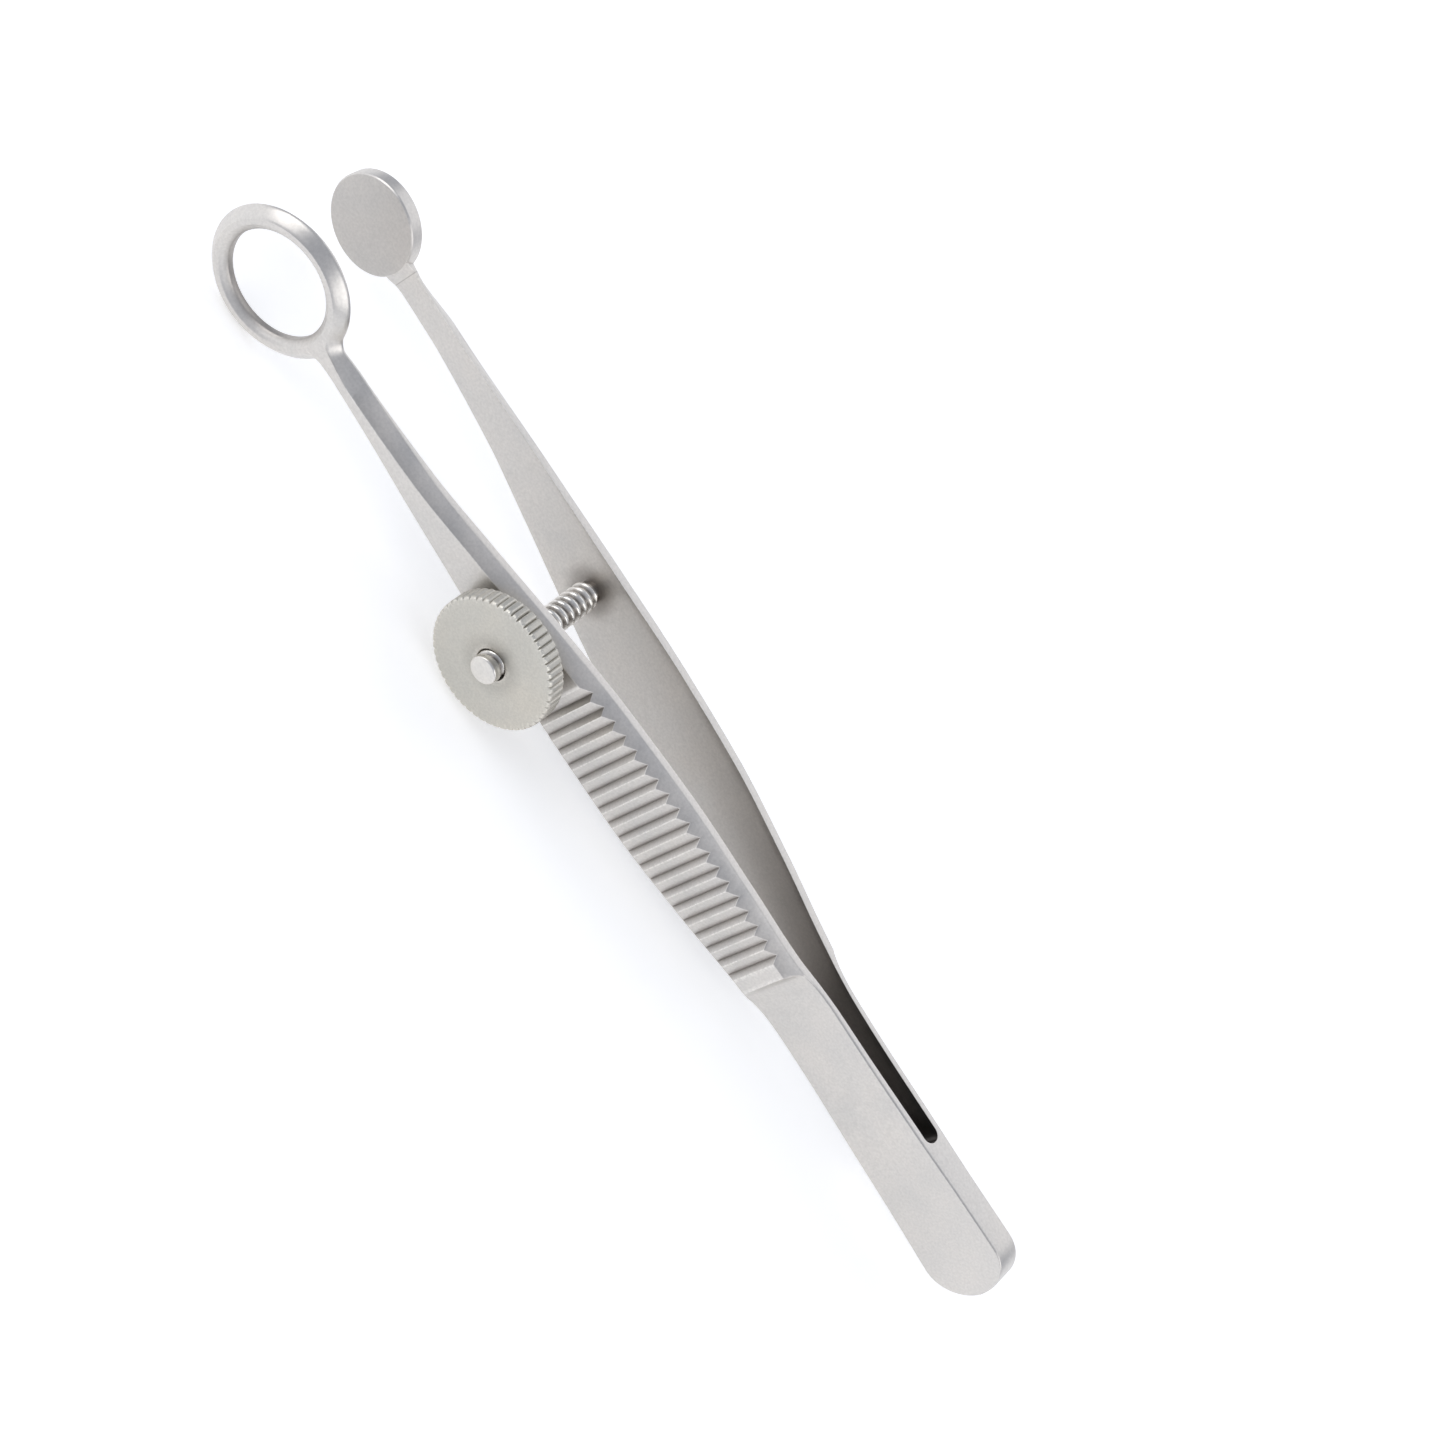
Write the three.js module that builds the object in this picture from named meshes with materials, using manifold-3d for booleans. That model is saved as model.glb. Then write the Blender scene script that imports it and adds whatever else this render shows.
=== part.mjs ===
// Ring-and-plate eyelid clamp forceps: two spring arms joined at the butt, a ring jaw and a round plate jaw,
// and a knurled thumb nut that runs on a threaded stud and draws the arms together.
//
// Millimetres. The instrument lies on its side: +X runs from the jaws to the butt, +Y from the ring arm to
// the plate arm, +Z across the width of the blades. While it is being built the middle of the ring is at
// X = 0, the plane midway between the arms is Y = 0 and the middle of the width is Z = 0. At the end the
// whole group is moved so that its origin is the middle of its bounding box, at the bottom.

import * as THREE from 'three';
import { mergeVertices } from 'three/addons/utils/BufferGeometryUtils.js';
import Module from 'manifold-3d';

const wasm = await Module();
wasm.setup();

// ---- Driving dimensions -------------------------------------------------------------------------------

const RING_BORE = 8.0;             // inner diameter of the ring jaw, at its narrowest
const RING_OUTER = 11.3;           // diameter of the ring's clamping face
const RING_THICKNESS = 1.0;
const PLATE_DIAMETER = 7.45;
const PLATE_THICKNESS = 1.2;
const PLATE_X = -0.27;
const RING_FACE_Y = 5.12;          // mid-plane to the middle of the ring's clamping face, jaws open
const PLATE_FACE_Y = 4.47;         // the same for the plate, which stands proud of its blade
const CLOSED_CLEARANCE = 0.08;     // left between the clamping faces when the nut is fully home

const BUTT_END = 84.5;             // X of the rounded end
const SLOT_END = 73.2;             // X where the gap between the arms ends
const BUTT_ROUNDING = 2.9;         // length of the rounded end
const FLEX_X = 66.5;               // middle of the thin spring section, where each arm bends
const FLEX_GAP = 0.3;              // between the butt half and the moving half of an arm
const WELD_THICKNESS = 0.2;        // layer of weld metal between the two arms at the butt

const WALL_HEIGHT = 0.61;          // upright side of a blade, below its bevel
const EDGE_BREAK = 0.08;           // small chamfer on the edges that have no bevel

const GROOVE_COUNT = 19;           // finger grip: sawtooth grooves across the outer face of each arm
const GROOVE_PITCH = 1.2216;
const FIRST_GROOVE = 34.08;
const GROOVE_DEPTH = 0.33;
const GROOVE_RISE = 0.47;          // run of the steep side, towards the butt
const GROOVE_FALL = 0.66;          // run of the gentle side, towards the jaws

const STUD_X = 28.8;
const STUD_DIAMETER = 2.1;
const STUD_NECK_DIAMETER = 1.7;
const STUD_END_Y = -8.85;          // free end of the stud, past the thumb nut
const STUD_DOME = 0.25;            // height of the rounded free end
const STUD_NECK_LENGTH = 0.5;      // plain relief beside the plate arm
const RIVET_HEAD_DIAMETER = 2.8;
const RIVET_HEAD_DEPTH = 0.4;
const RIVET_CLEARANCE = 0.1;
const STUD_HOLE_WIDTH = 2.7;       // clearance hole for the stud in the ring arm
const STUD_HOLE_LENGTH = 3.5;      // longer along the arm, because the arm tilts as it closes

const NUT_DIAMETER = 10.0;
const NUT_FACE_Y = -7.88;          // outer face of the thumb nut, jaws open
const NUT_THICKNESS = 1.6;
const NUT_TEETH = 52;
const NUT_TOOTH_DEPTH = 0.22;
const NUT_EDGE_BREAK = 0.15;
const NUT_BORE_DIAMETER = 2.3;
const BOSS_DIAMETER = 4.4;
const BOSS_END_Y = -5.25;          // bearing end of the boss, just clear of the ring arm
const BOSS_JOINT_GAP = 0.05;       // between the knurled wheel and its boss

const RING_SEGMENTS = 72;
const DISC_SEGMENTS = 64;
const ROUND_SEGMENTS = 32;

// ---- Outline of one arm -------------------------------------------------------------------------------
// Every list holds [X, value] pairs. Levels are distances from the mid-plane; widths are half widths.

const OUTER_LEVEL = profile([
  [9, 5.83], [16, 5.75], [22, 5.4], [29, 4.935], [45, 3.835], [57, 2.83], [57.6, 2.775], [57.7, 2.75],
  [58, 2.34], [58.4, 1.94], [58.9, 1.68], [59.7, 1.47], [60.7, 1.34], [62, 1.27], [66, 1.22], [72, 1.16],
  [78, 1.06], [90, 1.06],
]);
const INNER_LEVEL = profile([
  [9, 4.54], [16, 4.385], [22, 3.97], [29, 3.41], [45, 2.37], [57, 1.36], [60, 0.98], [62, 0.83],
  [66, 0.75], [72, 0.68],
]);
// Between X = 9 and its jaw each arm has levels of its own.
const RING_NECK_OUTER = profile([[4.4, 5.78], [5.6, 5.76], [7, 5.79], [9, 5.83]]);
const RING_NECK_INNER = profile([[4.4, 4.81], [9, 4.54]]);
const PLATE_NECK_OUTER = profile([[3, 5.42], [5, 5.6], [7, 5.78], [9, 5.83]]);
const PLATE_NECK_INNER = profile([[3.3, 4.3], [4, 4.5], [9, 4.54]]);
const NECK_END = 9;
const HALF_WIDTH = profile([
  [4.4, 2.1], [5.2, 1.75], [6, 1.35], [7, 1.12], [8, 1.1], [16, 1.615], [22, 2.25], [29, 3.04], [37, 3.78],
  [44, 3.98], [51, 3.6], [58, 3.08], [64, 3.05], [72, 3.25], [80, 3.53], [81.6, 3.58], [90, 3.7],
]);
const BEVEL_RUN = profile([
  [4.4, 0.3], [6, 0.5], [8, 0.66], [16, 0.82], [29, 0.85], [45, 1.02], [57.5, 0.95],
]);
const SERRATED_END = 57.7;         // the bevels stop where the thin spring section starts

// ---- Small helpers ------------------------------------------------------------------------------------

// A smooth function through [x, value] pairs that never overshoots them.
function profile(points) {
  const last = points.length - 1;
  const slopes = [];
  for (let i = 0; i < last; i += 1) {
    slopes.push((points[i + 1][1] - points[i][1]) / (points[i + 1][0] - points[i][0]));
  }
  const tangents = [slopes[0]];
  for (let i = 1; i < last; i += 1) {
    const product = slopes[i - 1] * slopes[i];
    tangents.push(product <= 0 ? 0 : (2 * product) / (slopes[i - 1] + slopes[i]));
  }
  tangents.push(slopes[last - 1]);
  return (x) => {
    if (x <= points[0][0]) return points[0][1];
    if (x >= points[last][0]) return points[last][1];
    let i = 0;
    while (x > points[i + 1][0]) i += 1;
    const step = points[i + 1][0] - points[i][0];
    const t = (x - points[i][0]) / step;
    const rise = points[i + 1][1] - points[i][1];
    const blend = t * t * (3 - 2 * t);
    const early = t * (1 - t) * (1 - t) * step * tangents[i];
    const late = t * t * (1 - t) * step * tangents[i + 1];
    return points[i][1] + rise * blend + early - late;
  };
}

function toSolid(geometry) {
  const bare = geometry.clone();
  bare.deleteAttribute('normal');
  bare.deleteAttribute('uv');
  const merged = mergeVertices(bare, 1e-4);
  return new wasm.Manifold(new wasm.Mesh({
    numProp: 3,
    vertProperties: new Float32Array(merged.attributes.position.array),
    triVerts: new Uint32Array(merged.index.array),
  }));
}

function toGeometry(solid) {
  const mesh = solid.getMesh();
  const geometry = new THREE.BufferGeometry();
  geometry.setAttribute('position', new THREE.BufferAttribute(new Float32Array(mesh.vertProperties), 3));
  geometry.setIndex(new THREE.BufferAttribute(new Uint32Array(mesh.triVerts), 1));
  geometry.computeVertexNormals();
  return geometry;
}

// A solid whose cross-sections are convex polygons [y, z], one at each X of the list.
function loft(stations, sectionAt) {
  const sections = stations.map(sectionAt);
  const sides = sections[0].length;
  const positions = [];
  sections.forEach((section, i) => section.forEach(([y, z]) => positions.push(stations[i], y, z)));
  const index = [];
  for (let i = 0; i < stations.length - 1; i += 1) {
    for (let j = 0; j < sides; j += 1) {
      const a = i * sides + j;
      const b = i * sides + ((j + 1) % sides);
      index.push(a, a + sides, b, b, a + sides, b + sides);
    }
  }
  const lastRing = (stations.length - 1) * sides;
  for (let j = 1; j < sides - 1; j += 1) {
    index.push(0, j, j + 1);
    index.push(lastRing, lastRing + j + 1, lastRing + j);
  }
  const geometry = new THREE.BufferGeometry();
  geometry.setAttribute('position', new THREE.Float32BufferAttribute(positions, 3));
  geometry.setIndex(index);
  return geometry;
}

// A polygon in the X-Y plane, carried across the width from -halfWidth to +halfWidth.
function prismAcross(points, halfWidth) {
  const shape = new THREE.Shape(points.map(([x, y]) => new THREE.Vector2(x, y)));
  const geometry = new THREE.ExtrudeGeometry(shape, { depth: 2 * halfWidth, bevelEnabled: false });
  geometry.translate(0, 0, -halfWidth);
  return geometry;
}

// A turned solid about the Y axis; profile points are [radius, y], going up the outside.
function turned(points, segments) {
  return new THREE.LatheGeometry(points.map(([r, y]) => new THREE.Vector2(r, y)), segments);
}

function boxBetween(low, high) {
  const geometry = new THREE.BoxGeometry(high[0] - low[0], high[1] - low[1], high[2] - low[2]);
  geometry.translate((low[0] + high[0]) / 2, (low[1] + high[1]) / 2, (low[2] + high[2]) / 2);
  return geometry;
}

function range(from, to, count) {
  return Array.from({ length: count + 1 }, (_, i) => from + ((to - from) * i) / count);
}

// ---- The arms -----------------------------------------------------------------------------------------
// Both arms are drawn on the +Y side of the mid-plane. The ring arm is then mirrored to the -Y side.

// The jaws meet face to face, so each one leans by the angle that its arm turns through to close.
const jawTravel = (RING_FACE_Y + PLATE_FACE_Y - CLOSED_CLEARANCE) / 2;
const closingAngle = Math.asin(jawTravel / FLEX_X);

function bevelledSection(x, outer, inner, halfWidth, bevelRun) {
  const thickness = outer - inner;
  const wall = Math.min(WALL_HEIGHT, thickness - EDGE_BREAK);
  const fullThickness = OUTER_LEVEL(SERRATED_END) - INNER_LEVEL(SERRATED_END);
  const share = x > SERRATED_END ? (thickness - WALL_HEIGHT) / (fullThickness - WALL_HEIGHT) : 1;
  const run = Math.max(EDGE_BREAK, bevelRun * Math.min(1, share));
  const shoulder = inner + wall;
  return [
    [inner, -halfWidth], [inner, halfWidth], [shoulder, halfWidth],
    [outer, halfWidth - run], [outer, run - halfWidth], [shoulder, -halfWidth],
  ];
}

function bladeSection(x, neckOuter, neckInner) {
  const outer = x < NECK_END ? neckOuter(x) : OUTER_LEVEL(x);
  const inner = x < NECK_END ? neckInner(x) : INNER_LEVEL(x);
  return bevelledSection(x, outer, inner, HALF_WIDTH(x), BEVEL_RUN(x));
}

// At the butt the two halves meet the weld, and the end is rounded in plan.
function buttSection(x) {
  const slotHalf = INNER_LEVEL(SLOT_END);
  const intoSlot = THREE.MathUtils.clamp((x - (SLOT_END - slotHalf)) / slotHalf, 0, 1);
  const meeting = WELD_THICKNESS / 2;
  const inner = meeting + (Math.min(INNER_LEVEL(x), slotHalf) - meeting) * Math.sqrt(1 - intoSlot ** 2);
  const intoEnd = THREE.MathUtils.clamp((x - (BUTT_END - BUTT_ROUNDING)) / BUTT_ROUNDING, 0, 1);
  const halfWidth = HALF_WIDTH(x) * Math.sqrt(Math.max(1 - intoEnd ** 2, 0.02));
  return bevelledSection(x, OUTER_LEVEL(x), x > SLOT_END ? meeting : inner, halfWidth, 0);
}

function gripCutter() {
  const above = 2;
  const first = FIRST_GROOVE - GROOVE_FALL;
  const lastGroove = FIRST_GROOVE + (GROOVE_COUNT - 1) * GROOVE_PITCH;
  const points = [[lastGroove + GROOVE_RISE, OUTER_LEVEL(lastGroove + GROOVE_RISE) + above]];
  points.push([first, OUTER_LEVEL(first) + above]);
  for (let i = 0; i < GROOVE_COUNT; i += 1) {
    const x = FIRST_GROOVE + i * GROOVE_PITCH;
    points.push([x - GROOVE_FALL, OUTER_LEVEL(x - GROOVE_FALL)]);
    points.push([x, OUTER_LEVEL(x) - GROOVE_DEPTH]);
    points.push([x + GROOVE_RISE, OUTER_LEVEL(x + GROOVE_RISE)]);
  }
  return toSolid(prismAcross(points, 6));
}

function bladeSolid(startX, neckOuter, neckInner) {
  const stations = [
    ...range(startX, NECK_END, 8), ...range(NECK_END, 57, 24).slice(1), 57.6,
    ...range(SERRATED_END, 58.9, 6), 59.3, 59.7, 60.7, 62, FLEX_X - FLEX_GAP / 2,
  ];
  const blade = loft(stations, (x) => bladeSection(x, neckOuter, neckInner));
  return toSolid(blade).subtract(gripCutter());
}

function buttHalf() {
  const slotHalf = INNER_LEVEL(SLOT_END);
  const stations = [
    FLEX_X + FLEX_GAP / 2, 69, ...range(SLOT_END - slotHalf, SLOT_END, 6), SLOT_END + 0.02, 77, 80,
    ...range(BUTT_END - BUTT_ROUNDING, BUTT_END, 10),
  ];
  return loft(stations, buttSection);
}

// The ring's section, [radius, height above the clamping face]. The bore and the outside both taper.
function ringGeometry() {
  const boreRadius = RING_BORE / 2;
  const outerRadius = RING_OUTER / 2;
  const section = [
    [boreRadius + 0.1, 0], [outerRadius - 0.05, 0], [outerRadius, 0.1], [outerRadius - 0.05, 0.4],
    [outerRadius - 0.3, 0.8], [outerRadius - 0.72, RING_THICKNESS], [boreRadius + 0.5, RING_THICKNESS],
    [boreRadius, 0.6], [boreRadius + 0.1, 0],
  ];
  return turned(section, RING_SEGMENTS);
}

function plateGeometry() {
  const radius = PLATE_DIAMETER / 2;
  const section = [
    [0, 0], [radius - EDGE_BREAK, 0], [radius, EDGE_BREAK], [radius, PLATE_THICKNESS - 0.15],
    [radius - 0.15, PLATE_THICKNESS], [0, PLATE_THICKNESS],
  ];
  return turned(section, DISC_SEGMENTS);
}

// Stands a jaw on its leaning clamping plane.
function placeJaw(geometry, x, faceY) {
  geometry.rotateZ(-closingAngle);
  geometry.translate(x, faceY, 0);
  return toSolid(geometry);
}

function mirrorToRingSide(geometry) {
  const mirrored = geometry.clone();
  const position = mirrored.attributes.position;
  for (let i = 0; i < position.count; i += 1) position.setY(i, -position.getY(i));
  const index = mirrored.index.array;
  for (let i = 0; i < index.length; i += 3) [index[i], index[i + 1]] = [index[i + 1], index[i]];
  mirrored.computeVertexNormals();
  return mirrored;
}

function ringArm() {
  const straight = (STUD_HOLE_LENGTH - STUD_HOLE_WIDTH) / 2;
  const reach = 8;
  const radius = STUD_HOLE_WIDTH / 2;
  const end = () => new THREE.CylinderGeometry(radius, radius, reach, ROUND_SEGMENTS);
  const middle = boxBetween([STUD_X - straight, 0, -radius], [STUD_X + straight, reach, radius]);
  const hole = toSolid(middle)
    .add(toSolid(end().translate(STUD_X - straight, reach / 2, 0)))
    .add(toSolid(end().translate(STUD_X + straight, reach / 2, 0)));
  const blade = bladeSolid(4.5, RING_NECK_OUTER, RING_NECK_INNER);
  const solid = blade.add(placeJaw(ringGeometry(), 0, RING_FACE_Y)).subtract(hole);
  return mirrorToRingSide(toGeometry(solid));
}

function plateArm() {
  const clearance = RIVET_CLEARANCE;
  const neck = STUD_NECK_DIAMETER / 2 + clearance;
  const head = RIVET_HEAD_DIAMETER / 2 + clearance;
  const outer = OUTER_LEVEL(STUD_X);
  const hole = turned([
    [0, 0], [neck, 0], [neck, outer - RIVET_HEAD_DEPTH - clearance], [head, outer], [head, outer + 2],
    [0, outer + 2],
  ], ROUND_SEGMENTS);
  hole.translate(STUD_X, 0, 0);
  const blade = bladeSolid(3.2, PLATE_NECK_OUTER, PLATE_NECK_INNER);
  const solid = blade.add(placeJaw(plateGeometry(), PLATE_X, PLATE_FACE_Y)).subtract(toSolid(hole));
  return toGeometry(solid);
}

// ---- Weld, stud and nut -------------------------------------------------------------------------------

function buttWeld() {
  const shape = new THREE.Shape();
  const halfWidthAt = (x) => {
    const intoEnd = THREE.MathUtils.clamp((x - (BUTT_END - BUTT_ROUNDING)) / BUTT_ROUNDING, 0, 1);
    return HALF_WIDTH(x) * Math.sqrt(Math.max(1 - intoEnd ** 2, 0.02));
  };
  const stations = [SLOT_END + 0.02, 77, 80, ...range(BUTT_END - BUTT_ROUNDING, BUTT_END, 10)];
  const upper = stations.map((x) => [x, halfWidthAt(x)]);
  const lower = [...stations].reverse().map((x) => [x, -halfWidthAt(x)]);
  [...upper, ...lower].forEach(([x, z], i) => (i ? shape.lineTo(x, z) : shape.moveTo(x, z)));
  const geometry = new THREE.ExtrudeGeometry(shape, { depth: WELD_THICKNESS, bevelEnabled: false });
  geometry.translate(0, 0, -WELD_THICKNESS / 2);
  geometry.rotateX(Math.PI / 2);
  return geometry;
}

function stud() {
  const radius = STUD_DIAMETER / 2;
  const neck = STUD_NECK_DIAMETER / 2;
  const head = RIVET_HEAD_DIAMETER / 2;
  const seat = OUTER_LEVEL(STUD_X);
  const threadEnd = INNER_LEVEL(STUD_X) - STUD_NECK_LENGTH;
  const low = STUD_X + head;
  const headTop = OUTER_LEVEL(low) - 0.02;
  const geometry = turned([
    [0, STUD_END_Y], [radius * 0.7, STUD_END_Y + STUD_DOME * 0.3], [radius, STUD_END_Y + STUD_DOME],
    [radius, threadEnd], [neck, threadEnd + 0.1], [neck, seat - RIVET_HEAD_DEPTH - RIVET_CLEARANCE * 2],
    [head - 0.25, headTop], [0, headTop],
  ], ROUND_SEGMENTS);
  return geometry;
}

function knurledOutline() {
  const shape = new THREE.Shape();
  const tip = NUT_DIAMETER / 2;
  const root = tip - NUT_TOOTH_DEPTH;
  const flank = 0.3;
  for (let i = 0; i < NUT_TEETH; i += 1) {
    const corners = [[0, root], [0.5 - flank / 2, tip], [0.5 + flank / 2, tip]];
    corners.forEach(([share, r], j) => {
      const angle = ((i + share) / NUT_TEETH) * 2 * Math.PI;
      const x = r * Math.cos(angle);
      const z = r * Math.sin(angle);
      if (i + j) shape.lineTo(x, z);
      else shape.moveTo(x, z);
    });
  }
  return shape;
}

function thumbNut() {
  const geometry = new THREE.ExtrudeGeometry(knurledOutline(), { depth: NUT_THICKNESS, bevelEnabled: false });
  geometry.rotateX(Math.PI / 2);
  geometry.translate(0, NUT_FACE_Y + NUT_THICKNESS, 0);
  const tip = NUT_DIAMETER / 2;
  const bore = NUT_BORE_DIAMETER / 2;
  const edge = NUT_TOOTH_DEPTH + NUT_EDGE_BREAK;
  const low = NUT_FACE_Y;
  const high = NUT_FACE_Y + NUT_THICKNESS;
  const blank = turned([
    [bore, low], [tip - edge, low], [tip + 0.1, low + edge], [tip + 0.1, high - edge], [tip - edge, high],
    [bore, high], [bore, low],
  ], 2 * DISC_SEGMENTS);
  return toGeometry(toSolid(geometry).intersect(toSolid(blank)));
}

function thumbNutBoss() {
  const bore = NUT_BORE_DIAMETER / 2;
  const outside = BOSS_DIAMETER / 2;
  const low = NUT_FACE_Y + NUT_THICKNESS + BOSS_JOINT_GAP;
  return turned([
    [bore, low], [outside, low], [outside, BOSS_END_Y - 0.2], [outside - 0.3, BOSS_END_Y], [bore, BOSS_END_Y],
    [bore, low],
  ], ROUND_SEGMENTS);
}

// ---- Assembly -----------------------------------------------------------------------------------------

const SATIN_STEEL = { color: 0xcfccc8, roughness: 0.42, metalness: 0.9 };
const TURNED_STEEL = { color: 0xc6c4bc, roughness: 0.5, metalness: 0.9 };
const BRIGHT_STEEL = { color: 0xb9b5ae, roughness: 0.25, metalness: 1.0 };

const group = new THREE.Group();

function addPart(name, geometry, finish, x = 0) {
  const mesh = new THREE.Mesh(geometry, new THREE.MeshStandardMaterial(finish));
  mesh.name = name;
  mesh.position.x = x;
  group.add(mesh);
}

const butt = toGeometry(toSolid(buttHalf()));
addPart('plate_arm_butt', butt, SATIN_STEEL);
addPart('ring_arm_butt', mirrorToRingSide(butt), SATIN_STEEL);
addPart('butt_weld', buttWeld(), SATIN_STEEL);
addPart('ring_arm', ringArm(), SATIN_STEEL);
addPart('plate_arm', plateArm(), SATIN_STEEL);
addPart('stud', stud(), BRIGHT_STEEL, STUD_X);
addPart('thumb_nut', thumbNut(), TURNED_STEEL, STUD_X);
addPart('thumb_nut_boss', thumbNutBoss(), TURNED_STEEL, STUD_X);

const box = new THREE.Box3().setFromObject(group);
group.position.set(-(box.min.x + box.max.x) / 2, -(box.min.y + box.max.y) / 2, -box.min.z);

export default group;
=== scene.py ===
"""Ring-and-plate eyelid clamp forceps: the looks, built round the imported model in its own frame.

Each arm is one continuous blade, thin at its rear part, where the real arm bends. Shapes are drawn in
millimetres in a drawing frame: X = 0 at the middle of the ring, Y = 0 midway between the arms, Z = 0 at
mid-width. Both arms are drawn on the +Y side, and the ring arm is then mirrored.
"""

import math

import bmesh
import bpy
import numpy as np
from mathutils import Matrix, Vector


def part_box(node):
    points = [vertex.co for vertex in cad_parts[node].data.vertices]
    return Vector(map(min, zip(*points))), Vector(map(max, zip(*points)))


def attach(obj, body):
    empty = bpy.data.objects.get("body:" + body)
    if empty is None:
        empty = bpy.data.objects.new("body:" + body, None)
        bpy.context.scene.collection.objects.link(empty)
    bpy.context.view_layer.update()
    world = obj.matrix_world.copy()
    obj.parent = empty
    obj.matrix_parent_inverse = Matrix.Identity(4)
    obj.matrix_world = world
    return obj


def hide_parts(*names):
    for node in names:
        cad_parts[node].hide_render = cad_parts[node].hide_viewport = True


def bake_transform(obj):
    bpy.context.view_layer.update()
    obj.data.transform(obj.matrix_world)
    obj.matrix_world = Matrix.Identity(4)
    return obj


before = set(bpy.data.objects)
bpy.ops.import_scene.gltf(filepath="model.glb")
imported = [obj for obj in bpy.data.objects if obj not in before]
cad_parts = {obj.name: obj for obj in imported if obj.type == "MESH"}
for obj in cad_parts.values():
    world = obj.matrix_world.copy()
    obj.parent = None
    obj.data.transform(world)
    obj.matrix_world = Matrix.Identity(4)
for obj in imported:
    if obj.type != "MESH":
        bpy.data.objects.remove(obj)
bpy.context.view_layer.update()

MM = 0.001
MERGE_DISTANCE = 1e-7                # metres: points this close become one

# ---- Dimensions, millimetres in the drawing frame ----------------------------------------------------

STUD_X = 28.8
LEAN = math.radians(4.1)             # each jaw leans by the angle that its arm turns through to close

RING_RADIUS = 5.65
RING_THICKNESS = 1.0
RING_FACE_Y = 5.12
RING_BACK_RUN = (4.6, 8.6)           # X over which the ring's outer face runs into the blade's
RING_FACE_RUN = (6.0, 9.0)           # and its clamping face
NECK_HALF_WIDTH = 1.06
NECK_FILLET = 1.15

PLATE_RADIUS = 3.725
PLATE_X = -0.27
PLATE_FACE_Y = 4.47
PLATE_THICKNESS = 1.2
PLATE_FACE_CHAMFER = (0.1, 0.13)     # across and up
PLATE_BACK_CHAMFER = 0.16
PLATE_BACK_RUN = (3.6, 8.6)          # X over which the plate's outer face runs into the blade's
PLATE_STEP = (3.2, 4.03)             # X over which the neck's face turns into a flat facet of its own
PLATE_FACET = (4.5, 0.008)           # the facet's height at X = 4, and its slope
PLATE_OVERLAP = 0.03                 # how far behind the plate's face the neck starts
PLATE_FLARE = 0.16                   # how much wider the neck is beside the plate
PLATE_FLARE_RUN = (3.4, 5.0)

HEAD_END = 9.0                       # X where a jaw's neck becomes the plain blade
SLOT_END = 73.2
BUTT_END = 84.5
BUTT_ROUNDING = 2.9
WELD_HALF = 0.1
WELD_PROUD = 0.003
SEAM_HALF = 0.03                     # the butt halves' edges are drawn together over the weld
WALL = 0.61                          # height of a blade's upright side
WALL_RUN = (8.0, 20.0)               # X over which it grows from the neck's
CREASE = 57.7                        # X where the thin, ground spring section starts

GROOVES = 19
GROOVE_PITCH = 1.2216
FIRST_GROOVE = 34.08
GROOVE_DEPTH = 0.38
GROOVE_RISE = 0.42

STUD_END_Y = -8.85
STUD_HOLE_WIDTH = 2.7
STUD_HOLE_LENGTH = 3.5
THREAD_PITCH = 0.7
THREAD_CREST = 1.1
THREAD_ROOT = 0.8
STUD_TIP_RADIUS = 1.06               # the worn, peened tip carries no thread
STUD_TIP_CHAMFER = 0.12
STUD_TIP_LENGTH = 0.3
STUD_NECK_RADIUS = 0.85              # where the stud passes through the plate arm
RIVET_RADIUS = 1.38

NUT_FACE_Y = -7.88
NUT_THICKNESS = 1.6
NUT_RADIUS = 5.0
NUT_BORE = 1.125
NUT_TEETH = 52
NUT_TOOTH_DEPTH = 0.19
NUT_DEPTH_SPREAD = 0.22              # how uneven the teeth are, as shares of a tooth's depth and pitch
NUT_PLACE_SPREAD = 0.14
BOSS_RADIUS = 2.2
BOSS_END_Y = -5.25

OUTER_POINTS = [
    (HEAD_END, 5.83), (16, 5.75), (22, 5.4), (29, 4.935), (45, 3.835), (57, 2.83), (57.6, 2.775),
    (CREASE, 2.75), (57.95, 2.25), (58.25, 1.92), (58.8, 1.69), (59.7, 1.47), (60.7, 1.34), (62, 1.27),
    (66, 1.22), (72, 1.16), (78, 1.06), (90, 1.06),
]
INNER_POINTS = [
    (HEAD_END, 4.54), (16, 4.385), (22, 3.97), (29, 3.41), (45, 2.37), (57, 1.36), (60, 0.98), (62, 0.83),
    (66, 0.75), (72, 0.68),
]
HALF_WIDTH_POINTS = [
    (4, NECK_HALF_WIDTH), (8, 1.1), (16, 1.615), (22, 2.25), (29, 3.04), (37, 3.78), (44, 3.98), (51, 3.6),
    (58, 3.08), (64, 3.05), (72, 3.25), (80, 3.53), (81.6, 3.58), (90, 3.7),
]
BEVEL_RUN_POINTS = [(4, 0.6), (8, 0.68), (16, 0.82), (29, 0.85), (45, 1.02), (57.5, 0.95)]

# ---- Painted shade: shades from 0 (black) to 1 (unshaded steel) --------------------------------------

GROOVE_PAINTED_SHADE = 0.42                   # painted shade: how much darker a groove is at its bottom
# painted shade on the stud hole's cut wall and rim
HOLE_SHADE = 0.72
BEVEL_SHADES = (0.86, 0.92, 0.97, 1.0)   # painted shade across a bevel, from the face's edge to the side wall
SLOT_SHADES = {38: 1.0, 45: 0.94, 52: 0.79, 58: 0.66, 63: 0.57, 68: 0.49, 72: 0.36, 73: 0.2}   # painted shade on the inner faces, by X
# painted shade on the plate's face, so that its chamfer and the neck's facet read lighter
PLATE_FACE_SHADE = 0.86
# painted shade: a thin dark line along the step into the neck's facet
PLATE_CORNER_SHADE = 0.72

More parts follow.
